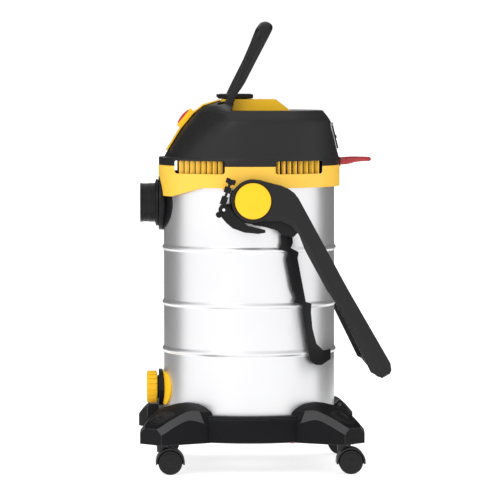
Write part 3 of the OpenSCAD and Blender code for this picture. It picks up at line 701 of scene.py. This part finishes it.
def cover_ring(z, rear=None, crease=22, steps=288):
    """The cover's outline at a height: a circle cut by a bulging front slope and a flat rear."""
    radius = level(COVER_R, z)
    depth = level(COVER_FRONT, z) + COVER_CENTRE
    rear = level(COVER_REAR, z) if rear is None else rear
    ring = []
    for k in range(steps):
        angle = k * math.tau / steps
        c, s = math.cos(angle), math.sin(angle)
        to_side = -COVER_CENTRE * c + math.sqrt(radius**2 - (COVER_CENTRE * s) ** 2)
        to_front = 2 * depth / (-c + math.sqrt(c * c + 4 * FRONT_BULGE * s * s * depth) + 1e-9)
        r = ((1 / to_side) ** crease + (1 / to_front) ** crease) ** (-1 / crease)
        if c > 0.01:
            to_rear = (rear - COVER_CENTRE) / c
            r = ((1 / r) ** REAR_CREASE + (1 / to_rear) ** REAR_CREASE) ** (-1 / REAR_CREASE)
        ring.append((COVER_CENTRE + r * c, r * s, z))
    return ring


def circle_ring(radius, z, steps=288):
    """A circle about the drum's axis, its points in the same directions as the cover's."""
    ring = []
    for k in range(steps):
        c, s = math.cos(k * math.tau / steps), math.sin(k * math.tau / steps)
        r = -COVER_CENTRE * c + math.sqrt(radius**2 - (COVER_CENTRE * s) ** 2)
        ring.append((COVER_CENTRE + r * c, r * s, z))
    return ring


def shrunk(ring, inset, z):
    """A ring drawn in by about an inset, at another height."""
    return [(x * (1 - inset / COVER_REACH), y * (1 - inset / COVER_REACH), z) for x, y, _ in ring]


def window_cutters(z0, z1, radius):
    """Rounded blocks for the vent windows, through both sides of the head."""
    return [extruded(rounded_outline(x0, x1, z0, z1, radius), -200, 200) for x0, x1 in WINDOWS]


def hump_rear(z):
    """Where the hump's rear face is at a height: it leans to the rear as it rises."""
    return HUMP_REAR[0] + (z - HUMP_REAR[1]) * HUMP_LEAN


def cover_openings():
    """The places of the switch, the socket and the carry handle's feet."""
    switch_spot = place(SWITCH_AT[0], 0, SWITCH_AT[1], SWITCH_TILT)
    switch = moved(box(-20.7, 20.7, -14.2, 14.2, -30, 10), switch_spot)
    socket_spot = place(SOCKET_AT[0], 0, SOCKET_AT[1], SOCKET_TILT)
    socket = moved(box(-28.3, 26.3, -26.3, 26.3, -20, 20), socket_spot)
    pocket = along_y([(18.5, 55), (18.5, 84)], *CARRY_PIVOT)
    return [switch, socket, pocket, mirrored(pocket)]


def make_cover():
    """The head cover: a hollow shell, its roof, and the hump at its front."""
    skirt = [circle_ring(r, z) for r, z in ((170.6, 571.2), (171.5, 572), (171.5, 585), (171, 586))]
    slope = [cover_ring(z) for z in COVER_LEVELS]
    wall = [shrunk(slope[0], SHELL, 571.2), shrunk(slope[0], SHELL, 586)]
    inner = [shrunk(ring, SHELL, ring[0][2] - 3) for ring in slope[1:]]
    shell = skin(skirt + slope + inner[::-1] + wall[::-1], closed=True)
    roof = skin([[(x, y, z) for x, y, _ in slope[-1]] for z in ROOF_Z])
    hump = skin([cover_ring(z, rear=hump_rear(z), crease=HUMP_CREASE) for z in HUMP_LEVELS])
    shape = joined(shell, roof, hump)
    cover = piece("cover_shell", shape, "housing_plastic", "head", ["head_cover"], sharp=30)
    cut(cover, *window_cutters(550, WINDOW_Z[1], 3))
    cut(cover, *cover_openings())


make_cover()

# ---------------------------------------------------------------- head ring and its vents

RING_R = 172
RING_UNDER = (
    (-190, 564.5), (-167, 513.5), (-148, 513.5), (-115, 524.5), (-92, 531.2), (200, 531.2),
    (200, 480), (-190, 480),
)
FIN_STARTS = (-134.5, 50)
FIN_PITCH = (10.3, 10.9)
FINS = 8
FIN_DEEP = 8.5
FIN_SWIRL = (38, -22)  # how far each window's slats turn away from the radius, in degrees
BAFFLE_R = 150


def make_ring():
    """The head ring, cut out round the inlet and at the vents, and the flange inside it."""
    shell = revolve([(RING_R, 505), (RING_R, 571), (RING_R - 3, 571), (RING_R - 3, 505)], 192)
    flange = revolve([(RING_R - 2.5, 541), (RING_R - 2.5, 544), (150, 544), (150, 541)], 192)
    ring = piece("head_ring_shell", shell, "yellow_plastic", "head", ["head_ring"], sharp=30, rounding=0.7)
    notch = bore(54, -200, -100, INLET_Z)
    cut(ring, extruded(RING_UNDER, -200, 200), notch, *window_cutters(WINDOW_Z[0], 600, 5))
    inner = piece("head_ring_flange", flange, "yellow_plastic", "head", ["head_ring"], sharp=30)
    cut(inner, bore(54, -200, -150, INLET_Z))


def fin(x, swirl):
    """One slat behind a window, at a place along X on the right side of the head."""
    y = math.sqrt((RING_R - 3.6) ** 2 - x * x)
    turn = math.degrees(math.atan2(y, x)) + swirl
    outer = [(0, -1.1), (0.4, -0.5), (0.4, 0.5), (0, 1.1)]
    outline = outer + [(-FIN_DEEP, 0.8), (-FIN_DEEP - 0.4, 0), (-FIN_DEEP, -0.8)]
    slat = skin([[(a, b, z) for a, b in outline] for z in (WINDOW_Z[0] - 3, WINDOW_Z[1] + 3)])
    return moved(slat, place(x, y, 0, 0, turn))


def make_fins():
    """The upright slats behind the vent windows."""
    shapes = []
    for start, pitch, swirl in zip(FIN_STARTS, FIN_PITCH, FIN_SWIRL):
        shapes += [fin(start + pitch * k, swirl) for k in range(FINS)]
    piece("vent_fins", both(joined(*shapes)), "yellow_plastic", "head", ["vent_ribs"], sharp=40)


def baffle():
    """A curved wall inside the vents, open where it faces the front and the rear."""
    rings = []
    for r, z in ((BAFFLE_R, 550), (BAFFLE_R, 588), (BAFFLE_R - 2, 588), (BAFFLE_R - 2, 550)):
        turns = [math.radians(27 + 126 * k / 40) for k in range(41)]
        rings.append([(r * math.cos(a), r * math.sin(a), z) for a in turns])
    strip = list(zip(*rings))
    return skin([list(section) for section in strip])


make_ring()
make_fins()
piece("vent_baffles", both(baffle()), "housing_plastic", "head", ["vent_ribs"], sharp=40)

# ---------------------------------------------------------------- base

FOOT_TOP = ((150, 131), (173, 131), (185, 127), (205, 119), (226, 110), (245, 101), (258, 94), (268, 86.5))
FOOT_U = (146, 160, 172, 178, 184, 192, 200, 208, 216, 224, 232, 240, 248, 254, 260, 264, 268)
BANDS_FROM = 4  # the station in FOOT_U where the bands begin
DOME_R = 74
FOOT_EDGE = 12  # width of the sloping band along a foot's top edges
CAP_U = 237.6
GROOVE_TURN = 31  # of each joint in the base's ring, from the machine's side


def foot_half(u):
    """Half of a foot's width, its end corners cut off."""
    return 59 - max(u - 177, 0) * 0.3 - max(u - 260, 0) * 0.5


def crown(u, v):
    """A foot's top: the lower of its slope and its dome, blended."""
    slope = level(FOOT_TOP, u) - BASE_Z
    dome = math.sqrt(DOME_R**2 - v * v)
    return BASE_Z + (slope**-18 + dome**-18) ** (-1 / 18)


def foot_ring(u):
    """A foot's section at a distance from the drum's axis."""
    half = foot_half(u)
    edge = half - FOOT_EDGE
    side = crown(u, half) - 10
    top = [(edge - 2 * edge * k / 14, crown(u, edge - 2 * edge * k / 14)) for k in range(15)]
    outline = [(half, BASE_Z), (half, side), *top, (-half, side), (-half, BASE_Z)]
    return [(u, v, z) for v, z in outline]


def foot_highlight_bands():
    """The sloping bands along both of a foot's top edges, a hair proud of its surface, in a lighter plastic
    that paints a highlight on the chamfers.
    """
    rings = []
    for u in FOOT_U[BANDS_FROM:]:
        half = foot_half(u)
        edge = half - FOOT_EDGE
        side, top = crown(u, half) - 10, crown(u, edge)
        rings.append([(u, half + 0.3, side), (u, edge, top + 0.3), (u, edge, top - 2), (u, half - 2, side)])
    return both(skin(rings))


def cap_shapes():
    """A slotted round cap over a caster's stem, and the dark seat round it."""
    tilt = math.degrees(math.atan2(110 - 101, 245 - 226))
    spot = place(CAP_U, 0, level(FOOT_TOP, CAP_U), tilt)
    lid = [(0.1, -1), (21, -1), (21, 1.6), (20, 2.5), (12, 3.1), (0.1, 3.3)]
    cap = moved(revolve(lid, 64, closed=False), spot)
    seat = moved(revolve([(21.4, -1), (24.4, -1), (24.2, 0.5), (21.6, 0.7)], 64), spot)
    slot = moved(box(-9, 9, -1.1, 1.1, 1.6, 6), spot)
    return cap, seat, slot


def make_base():
    """The four feet with their caps and their bands of painted highlight, and the ring round the drum."""
    profile = [
        (70, 57), (178, 57), (182, 58.5), (183, 62), (183, 98), (181.5, 101), (178, 102), (177, 103),
        (177, 106), (176, 107), (162.5, 107), (162.5, 70), (150, 70), (150, 65), (70, 65),
    ]
    feet, bands, caps, seats, slots = [], [], [], [], []
    foot = skin([foot_ring(u) for u in FOOT_U])
    cap, seat, slot = cap_shapes()
    for turn in (45, 135, 225, 315):
        spin = Matrix.Rotation(math.radians(turn), 4, "Z")
        feet.append(moved(foot, spin))
        bands.append(moved(foot_highlight_bands(), spin))
        caps.append(moved(cap, spin))
        seats.append(moved(seat, spin))
        slots.append(moved(slot, spin))
    shape = joined(*feet)
    base = piece("base_feet", shape, "base_plastic", "root", ["base_frame"], sharp=25, rounding=1.2)
    seat_r = DRUM_R + 0.4
    cut(base, revolve([(0.1, 60), (seat_r, 60), (seat_r, 160), (0.1, 160)], 128, closed=False))
    shape = revolve(profile, 160)
    band = piece("base_ring", shape, "base_plastic", "root", ["base_frame"], sharp=30, rounding=0.6)
    groove = box(181.4, 186, -0.9, 0.9, 56, 104)
    turns = [math.radians(90 * side + lean) for side in (-1, 1) for lean in (-GROOVE_TURN, GROOVE_TURN)]
    cut(band, *[moved(groove, Matrix.Rotation(turn, 4, "Z")) for turn in turns])
    # The bands on the feet's top edges carry a painted highlight.
    piece("foot_highlight_bands", joined(*bands), "base_chamfer_highlight_plastic", "root", ["base_frame"], sharp=25)
    piece("cap_seats", joined(*seats), "black_plastic", "root", ["base_frame"], sharp=30)
    covers = piece("stem_caps", joined(*caps), "black_plastic", "root", ["caster_caps"], sharp=30)
    cut(covers, *slots)


make_base()

# ---------------------------------------------------------------- casters

WHEEL_R = 22.5
CASTER_XY = 168
TRAIL = 15
WHEEL_PROFILE = (
    (0.2, 17.3), (5.5, 17.3), (6.6, 16.9), (7, 16.2), (16.5, 16.3), (17.4, 15.6), (20, 15.6), (20.6, 16.2),
    (21.6, 16.2), (WHEEL_R, 14.9), (WHEEL_R, 5.4), (21.3, 4.1), (8, 4.1), (0.2, 4.1),
)


def make_wheels():
    """The pairs of wheels of the four casters."""
    for corner, (sx, sy) in CORNERS.items():
        spot = Matrix.Translation((sx * CASTER_XY + TRAIL, sy * CASTER_XY, WHEEL_R))
        half = along_y(WHEEL_PROFILE, 0, 0, 72)
        shape = moved(both(half), spot)
        body, node = "wheels_" + corner, "caster_wheels_" + corner
        piece(body, shape, "wheel_rubber", body, [node], sharp=35)


make_wheels()

# ---------------------------------------------------------------- carry handle

CARRY_LEAN = 25
CARRY_Y = 70  # middle of each leg
CARRY_FRONT = ((0, -8), (50, -7.5), (95, -6), (130, -7), (158, -9), (170, -7), (178, -3))
CARRY_REAR = ((0, 8), (30, 6.5), (44, 9.5), (57, 11), (98, 12.5), (140, 14.5), (166, 16), (178, 12))
CARRY_BEND = 20


def carry_path():
    """(y, height, heading) of the handle's middle line, from one pivot over the grip to the other."""
    top = 178 - 11
    path = [(CARRY_Y, h, 90) for h in range(0, top - CARRY_BEND, 7)]
    for k in range(9):
        a = math.radians(90 * k / 8)
        y = CARRY_Y - CARRY_BEND + CARRY_BEND * math.cos(a)
        path.append((y, top - CARRY_BEND + CARRY_BEND * math.sin(a), 90 + 90 * k / 8))
    half = path + [(y, top, 180) for y in (40, 30, 20, 10)]
    return half + [(0, top, 180)] + [(-y, h, 360 - a) for y, h, a in reversed(half)]


def carry_ring(y, height, heading, steps=28):
    """A rounded section across the handle's line."""
    grip = abs(math.cos(math.radians(heading)))
    front, rear = level(CARRY_FRONT, height), level(CARRY_REAR, height)
    middle, wide = (front + rear) / 2, (rear - front) / 2
    thick = 10 + 1 * grip
    power = 2 / (5.5 - 2.9 * grip)
    a = math.radians(heading - 90)
    ring = []
    for k in range(steps):
        t = k * math.tau / steps
        c, s = math.cos(t), math.sin(t)
        across = thick * math.copysign(abs(c) ** power, c)
        along = middle + wide * math.copysign(abs(s) ** power, s)
        ring.append((along, y + across * math.cos(a), height + across * math.sin(a)))
    return ring


def make_carry_handle():
    """The carry handle on its pivots, with a recess in the outside of each leg."""
    lean = place(CARRY_PIVOT[0], 0, CARRY_PIVOT[1], CARRY_LEAN)
    bow = skin([carry_ring(*spot) for spot in carry_path()])
    boss = along_y([(8, 59.6), (10, 61), (10, 79), (8.6, 80.2), (0.2, 80.2)], 0, 0, 48)
    pin = along_y([(4.9, 40.4), (4.9, 61)], 0, 0, 32)
    handle = piece(
        "carry_bow", moved(joined(bow, both(boss), both(pin)), lean), "handle_plastic", "carry_handle",
        ["carry_handle"], sharp=45,
    )
    slot = extruded([(-3, 60), (3, 60), (6, 138), (0.5, 148), (-4.5, 138)], 77.5, 90)
    cut(handle, moved(slot, lean), moved(mirrored(slot), lean))


make_carry_handle()

# ---------------------------------------------------------------- push handle

HUB_Z = 508.5
HUB_Y = (177, 195)
HUB_R = 40
ARM_OUTER = (
    (10, 548), (32, 542), (52, 537), (66, 531), (76, 524), (84, 514), (176, 345), (255, 208),
    (257, 195), (254, 188),
)
ARM_INNER = (
    (240, 179), (219, 190), (173, 284), (154, 318), (136, 345), (105, 402), (96, 419), (86, 445),
    (72, 462), (50, 472), (10, 470),
)
ARM_CREASE = (
    (246, 187), (233, 208), (181.7, 288), (157.4, 322), (140.7, 349), (112.5, 406), (102, 424),
    (86.9, 452), (75.3, 470), (58.3, 479.5), (10, 482),
)
ARM_POCKET = ((60, 508), (98, 462), (160, 345), (216, 236), (206, 230), (146, 340), (84, 450), (50, 495))
GRIP_AT = (238, 194)


def arm_shape():
    """One arm on the far side: a flat bar whose inner edge is cut back along a crease."""
    full = ARM_OUTER + ARM_INNER
    creased = ARM_OUTER + ARM_CREASE
    rings = [(full, HUB_Y[0]), (full, HUB_Y[0] + 10), (creased, HUB_Y[1])]
    return skin([[(x, y, z) for x, z in outline] for outline, y in rings])


def make_push_handle():
    """Two arms with hubs and pivot caps, and the grip between them."""
    pair = both(arm_shape())
    arms = piece("push_arms", pair, "handle_plastic", "push_handle", ["push_handle"], sharp=25, rounding=1.4)
    pocket = extruded(ARM_POCKET, 170, 182)
    hub_hole = along_y([(38, 170), (38, 200)], 0, HUB_Z)
    cut(arms, pocket, mirrored(pocket), hub_hole, mirrored(hub_hole))
    rim = [
        (12.1, 177), (HUB_R - 1, 177), (HUB_R, 178), (HUB_R, 194), (HUB_R - 1.5, 195.4), (35.4, 195.4),
        (35, 194), (12.1, 194),
    ]
    hub = along_y(rim, 0, HUB_Z, 128, closed=True)
    piece("push_hubs", both(hub), "handle_plastic", "push_handle", ["push_handle"], sharp=30)
    ribbed = [(13.6 + 0.4 * math.cos(k * math.pi), -174 + 3 * k) for k in range(117)]
    grip = along_y([(13, -177.5), *ribbed, (13, 177.5)], *GRIP_AT, 64)
    piece("push_grip", grip, "black_rubber", "push_handle", ["push_handle"], sharp=50)
    dome = [(33.5, 194.2), (33.5, 198.6), (32.6, 200.1), (30, 200.9), (20, 201), (0.2, 201)]
    cap = along_y(dome, 0, HUB_Z, 128)
    piece("hub_caps", both(cap), "deep_yellow_plastic", "push_handle", ["pivot_caps"], sharp=40)


make_push_handle()

# ---------------------------------------------------------------- switch, knob and top plate

KNOB_X = -26


def make_switch():
    """The rocker of the switch, its top a shallow arc."""
    spot = place(SWITCH_AT[0], 0, SWITCH_AT[1], SWITCH_TILT)
    arc = [(-16 + 32 * k / 16, 4 + 3.2 * math.sin(math.pi * (k + 1.2) / 18.4)) for k in range(17)]
    outline = [*arc, (16, 1), (8, -7), (-8, -7), (-16, -2)]
    shape = moved(extruded(outline, -10.6, 10.6), spot)
    piece("rocker", shape, "red_plastic", "rocker_switch", ["rocker_switch"], sharp=40, rounding=1.2)


def make_knob():
    """A low round knob with grip flutes and a pointer at its front."""
    profile = [
        (0.2, 695.5), (30, 695.5), (33, 696.4), (34, 698), (34, 702), (32.6, 704.2), (29, 705.2),
        (0.2, 705.4),
    ]
    steps = 144
    rings = []
    for r, z in profile:
        ring = []
        for k in range(steps):
            dip = 1.1 if r > 31 and k % 6 in (0, 1) else 0
            angle = k * math.tau / steps
            ring.append((KNOB_X + (r - dip) * math.cos(angle), (r - dip) * math.sin(angle), z))
        rings.append(ring)
    stem = revolve([(3.9, 686), (3.9, 697)], 32, closed=False)
    pointer = box(KNOB_X - 36, KNOB_X - 24, -4, 4, 699, 704.4)
    shape = joined(skin(rings), moved(stem, Matrix.Translation((KNOB_X, 0, 0))), pointer)
    piece("knob", shape, "black_plastic", "selector_knob", ["selector_knob"], sharp=40)


def deepen(*nodes):
    """Gives CAD nodes the deeper yellow of the caps."""
    for node in nodes:
        NODES[node].data.materials[0] = FINISHES["deep_yellow_plastic"]


make_switch()
make_knob()
deepen("top_plate", "front_panel", "drain_cap", "drain_plate")

# ---------------------------------------------------------------- latches

LATCH_PIN = (-54, 492.5)
LATCH_STUB = (-63, 483.5)
LATCH_HEAD = (-42, 543)
LEVER_Y = (183, 194)
BOLT_Y = 199.5
LEVER = (
    (-63, 488), (-60, 481), (-50, 469), (-38, 458.5), (-16, 450.5), (10, 448), (23, 450), (23, 455),
    (10, 458), (-10, 463), (-19, 471.5), (-31.5, 480.5), (-38.5, 490), (-44, 498), (-54, 502), (-61, 499),
)
LEVER_COLLAR = (
    (9.6, 183.4), (9.6, 194.8), (8.4, 195.9), (2.7, 195.9), (2.7, 195.4), (4.3, 195.4), (4.3, 183.4),
)
BOLT_WING = (
    (0.2, -9.2), (3.6, -9.2), (4.8, -8), (4.8, -3.4), (3.8, -2.2), (3.8, 2.2), (4.8, 3.4), (4.8, 8),
    (3.6, 9.2), (0.2, 9.2),
)


def lever_shape():
    """A latch lever on the right side, with the stub that holds its draw bolt."""
    plate = extruded(LEVER, *LEVER_Y)
    collar = along_y(LEVER_COLLAR, *LATCH_PIN, 48, closed=True)
    ear = along_y([(5.6, 183.4), (5.6, 194.2), (0.2, 194.2)], *LATCH_STUB, 32)
    stub = along_y([(2.5, 194), (2.5, 203.4), (0.2, 203.4)], *LATCH_STUB, 24)
    return joined(plate, collar, ear, stub)


def bolt_shape():
    """A draw bolt: an eye, a rod with two blocks, and a winged head."""
    dx, dz = LATCH_HEAD[0] - LATCH_STUB[0], LATCH_HEAD[1] - LATCH_STUB[1]
    length = math.hypot(dx, dz)
    lean = place(LATCH_STUB[0], BOLT_Y, LATCH_STUB[1], math.degrees(math.atan2(dx, dz)))
    eye = along_y([(5.5, 197), (5.5, 202), (2.6, 202), (2.6, 197)], *LATCH_STUB, 32, closed=True)
    rod = revolve([(2.4, 3), (2.4, length)], 20, closed=False)
    spans = ((6, 20, 36), (6.5, 43, 54), (4.5, length - 4, length + 2))
    blocks = [box(-half, half, -3, 3, z0, z1) for half, z0, z1 in spans]
    across = Matrix.Translation((0, 0, length + 2.4)) @ Matrix.Diagonal((1, 0.7, 1, 1))
    head = moved(along_x(BOLT_WING, 0, 0, 32), across)
    return joined(eye, moved(joined(rod, *blocks, head), lean))


def make_latches():
    """The levers and the draw bolts on both sides."""
    for side, sign in SIDES.items():
        for name, shape in (("lever", lever_shape()), ("bolt", bolt_shape())):
            shape = shape if sign > 0 else mirrored(shape)
            node = "latch_" + name + "_" + side
            piece("draw_" + name + "_" + side, shape, "black_plastic", node, [node], sharp=35, rounding=0.5)


make_latches()

# ---------------------------------------------------------------- hose inlet

SADDLE_HALF = (70, 50)  # half the saddle's width and height
MOUTH = (
    (30, -206), (30.8, -207), (36.4, -207), (37, -206.4), (37, -203), (36.5, -202.4), (36.5, -191),
    (37, -190.4), (37, -179), (44, -177), (44.5, -176), (44.5, -173.4), (43, -172.4), (30, -172.4),
)
COLLAR = ((31, -171.6), (49.5, -172), (51.4, -171.2), (52, -169.4), (52, -140), (31, -140))
CLEAR_OF_DRUM = ((0.1, 400), (162.3, 400), (162.3, 530), (166.4, 530), (166.4, 600), (0.1, 600))


def saddle():
    """An oval plate that hugs the drum under the inlet's collar."""
    rings = []
    for share, r in ((0.6, 162.3), (0.6, 165.6), (0.93, 165.6), (1, 164.4), (1, 162.3)):
        ring = []
        for k in range(96):
            y = SADDLE_HALF[0] * share * math.cos(k * math.tau / 96)
            z = INLET_Z - 2 + SADDLE_HALF[1] * share * math.sin(k * math.tau / 96)
            ring.append((-math.sqrt(r * r - y * y), y, min(z, 529)))
        rings.append(ring)
    return skin(rings, closed=True)


def make_inlet():
    """The hose inlet: its spigot, its collar and the saddle on the drum."""
    spigot = along_x(MOUTH, 0, INLET_Z, 128, closed=True)
    piece("inlet_spigot", spigot, "black_plastic", "root", ["inlet_ring"], sharp=30)
    disc = along_x(COLLAR, 0, INLET_Z, 128, closed=True)
    collar = piece("inlet_collar", disc, "black_plastic", "root", ["inlet_body"])
    cut(collar, revolve(CLEAR_OF_DRUM, 128))
    neck = along_x([(31, -163), (34, -163), (34, -150), (31, -150)], 0, INLET_Z, 96, closed=True)
    piece("inlet_saddle", joined(saddle(), neck), "black_plastic", "root", ["inlet_body"], sharp=25)


make_inlet()
